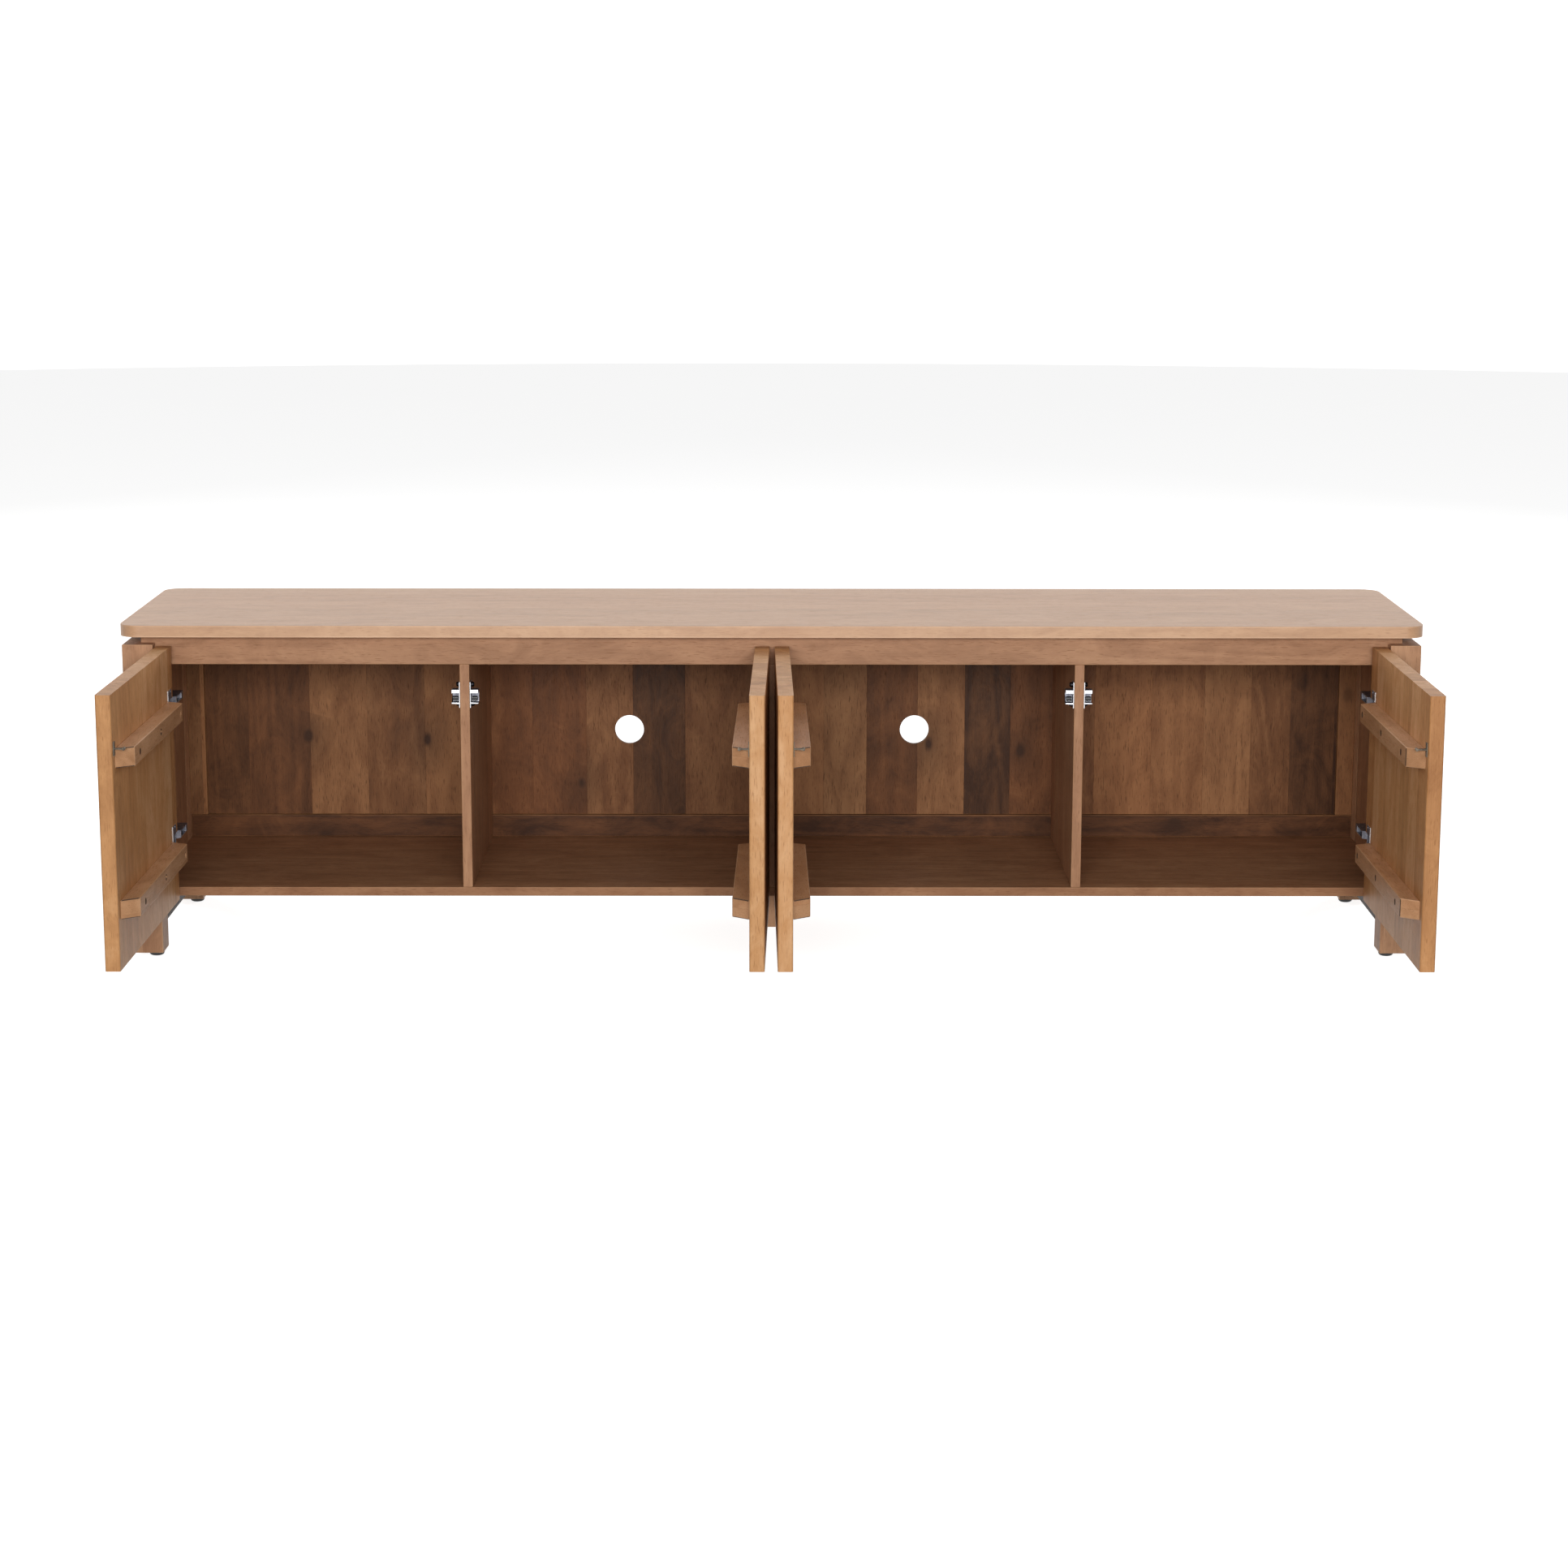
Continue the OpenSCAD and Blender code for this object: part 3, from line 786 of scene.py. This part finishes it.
CUP_RADIUS = 17.5 * MM
CUP_SCREW_RISE = 20.2 * MM
FLANGE_THICKNESS = 1.2 * MM
PLATE_THICKNESS = 2.5 * MM
PLATE_SCREW_RISE = 15.0 * MM

# Hinges further than this from the middle, along X, hang on the ends of the case.
OUTER_HINGE = 0.5

for k in DOORS:
    turn = door_turn(k)
    heads = []
    panel_low, panel_high = solid_boxes(f"door_panel_{k}", turn)[0]
    for low, high in solid_boxes(f"hinge_cups_{k}", turn):
        inward = 1 if high.x > panel_high.x else -1
        face = (panel_high.x if inward > 0 else panel_low.x) + inward * FLANGE_THICKNESS
        middle_z = (low.z + high.z) / 2
        for side in (-1, 1):
            spot = (face, low.y + CUP_RADIUS, middle_z + side * CUP_SCREW_RISE)
            heads.append(screw_mesh(spot, X, inward, *CUP_HEAD))
    screws = joined(heads)
    screws.transform(turn)
    make_piece(f"hinge_cup_screws_{k}", screws, f"door_{k}", MATERIALS["zinc"])

heads = []
for low, high in solid_boxes("hinge_plates"):
    middle = (low + high) / 2
    # The outer plates face the middle of the case, the ones on the centre divider face away from it.
    toward = (-1 if middle.x > 0 else 1) * (1 if abs(middle.x) > OUTER_HINGE else -1)
    face = low.x + PLATE_THICKNESS if toward > 0 else high.x - PLATE_THICKNESS
    for side in (-1, 1):
        spot = (face, middle.y, middle.z + side * PLATE_SCREW_RISE)
        heads.append(screw_mesh(spot, X, toward, *PLATE_HEAD))
make_piece("hinge_plate_screws", joined(heads), "case", MATERIALS["zinc"])

# Back: a row of small screws along the upper and lower edge of each back board.

SCREWS_IN_ROW = 3
EDGE_ROOM = 14 * MM

heads = []
for k in DOORS:
    low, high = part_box(f"back_panel_{k}")
    for height in (low.z + EDGE_ROOM, high.z - EDGE_ROOM):
        for i in range(SCREWS_IN_ROW):
            share = (i + 0.5) / SCREWS_IN_ROW
            spot = (low.x + share * (high.x - low.x), high.y, height)
            heads.append(screw_mesh(spot, Y, 1, *BACK_HEAD))
make_piece("back_screws", joined(heads), "case", MATERIALS["zinc"])

# ---- stage, light, camera ------------------------------------------------

PAPER = srgb(250, 249, 249)
PAPER_SHADE = srgb(246, 246, 246)
WHITE = (1.0, 1.0, 1.0, 1.0)
STAGE_RADIUS = 14.0
FLOOR_DROP = 0.2 * MM
FLOOR_GLOW, DOME_GLOW = 0.82, 1.0
WORLD_STRENGTH = 0.10


def stage_piece(name, bm, glow):
    """A part of the studio: pale paper that glows a little and lights the piece in reflections only."""
    g = Graph(f"{name}_paper")
    mist = g.noise(g.place(), scale=0.7, detail=2.0)
    g.feed(g.bsdf, Base_Color=g.mix(mist, PAPER, PAPER_SHADE), Roughness=0.95, Specular_IOR_Level=0.0)
    g.feed(g.bsdf, Emission_Color=WHITE, Emission_Strength=glow)
    mesh = bpy.data.meshes.new(name)
    bm.to_mesh(mesh)
    bm.free()
    mesh.materials.append(g.material)
    piece = bpy.data.objects.new(name, mesh)
    piece.visible_diffuse = False
    bpy.context.scene.collection.objects.link(piece)
    return piece


def add_stage():
    """A floor of white paper inside a plain white dome."""
    ground = bmesh.new()
    bmesh.ops.create_circle(ground, cap_ends=True, segments=96, radius=STAGE_RADIUS)
    floor = stage_piece("floor", ground, FLOOR_GLOW)
    floor.location.z = -FLOOR_DROP
    sky = bmesh.new()
    bmesh.ops.create_uvsphere(sky, u_segments=96, v_segments=48, radius=STAGE_RADIUS)
    for f in sky.faces:
        f.smooth = True
    dome = stage_piece("dome", sky, DOME_GLOW)
    dome.visible_shadow = False


def add_light(name, spot, target, size, power, colour=WHITE[:3]):
    data = bpy.data.lights.new(name, "AREA")
    data.shape = "RECTANGLE"
    data.size, data.size_y = size
    data.energy = power
    data.color = colour
    light = bpy.data.objects.new(name, data)
    light.location = spot
    light.rotation_mode = "QUATERNION"
    light.rotation_quaternion = (Vector(target) - Vector(spot)).to_track_quat("-Z", "Y")
    bpy.context.scene.collection.objects.link(light)


def add_lights():
    """A broad warm light behind the camera, a weak one overhead, and one behind each end."""
    warm = (1.0, 0.985, 0.96)
    add_light("front", (0.0, -6.2, 1.65), (0.0, 0.0, 0.3), size=(3.2, 1.4), power=300.0, colour=warm)
    add_light("overhead", (0.0, -0.1, 3.2), (0.0, 0.0, 0.5), size=(3.0, 1.2), power=15.0)
    for name, side in (("rear_left", -1), ("rear_right", 1)):
        add_light(name, (side * 4.0, 3.6, 2.2), (0.0, 0.2, 0.3), size=(2.4, 1.6), power=85.0)


# Metres and radians.
CAMERA_SPOT = (-0.003, -5.336, 1.2495)
CAMERA_TURN, CAMERA_TILT, CAMERA_ROLL = -0.00422, math.pi / 2 - 0.20266, 0.0015


def add_camera():
    """Eye height, distance, lens and tilt of the product picture: low, far off and almost square on."""
    data = bpy.data.cameras.new("camera")
    data.lens = 77.54
    data.sensor_width = 36.0
    data.shift_y = 0.031
    camera = bpy.data.objects.new("camera", data)
    turn = Matrix.Rotation(CAMERA_TURN, 4, "Z")
    tilt = Matrix.Rotation(CAMERA_TILT, 4, "X")
    roll = Matrix.Rotation(CAMERA_ROLL, 4, "Z")
    camera.matrix_world = Matrix.Translation(CAMERA_SPOT) @ turn @ tilt @ roll
    bpy.context.scene.collection.objects.link(camera)
    bpy.context.scene.camera = camera


def add_world():
    world = bpy.data.worlds.new("studio")
    world.use_nodes = True
    sky = world.node_tree.nodes["Background"].inputs
    sky["Color"].default_value = WHITE
    sky["Strength"].default_value = WORLD_STRENGTH
    bpy.context.scene.world = world


add_stage()
add_world()
add_lights()
add_camera()
bpy.context.scene.view_settings.view_transform = "Standard"
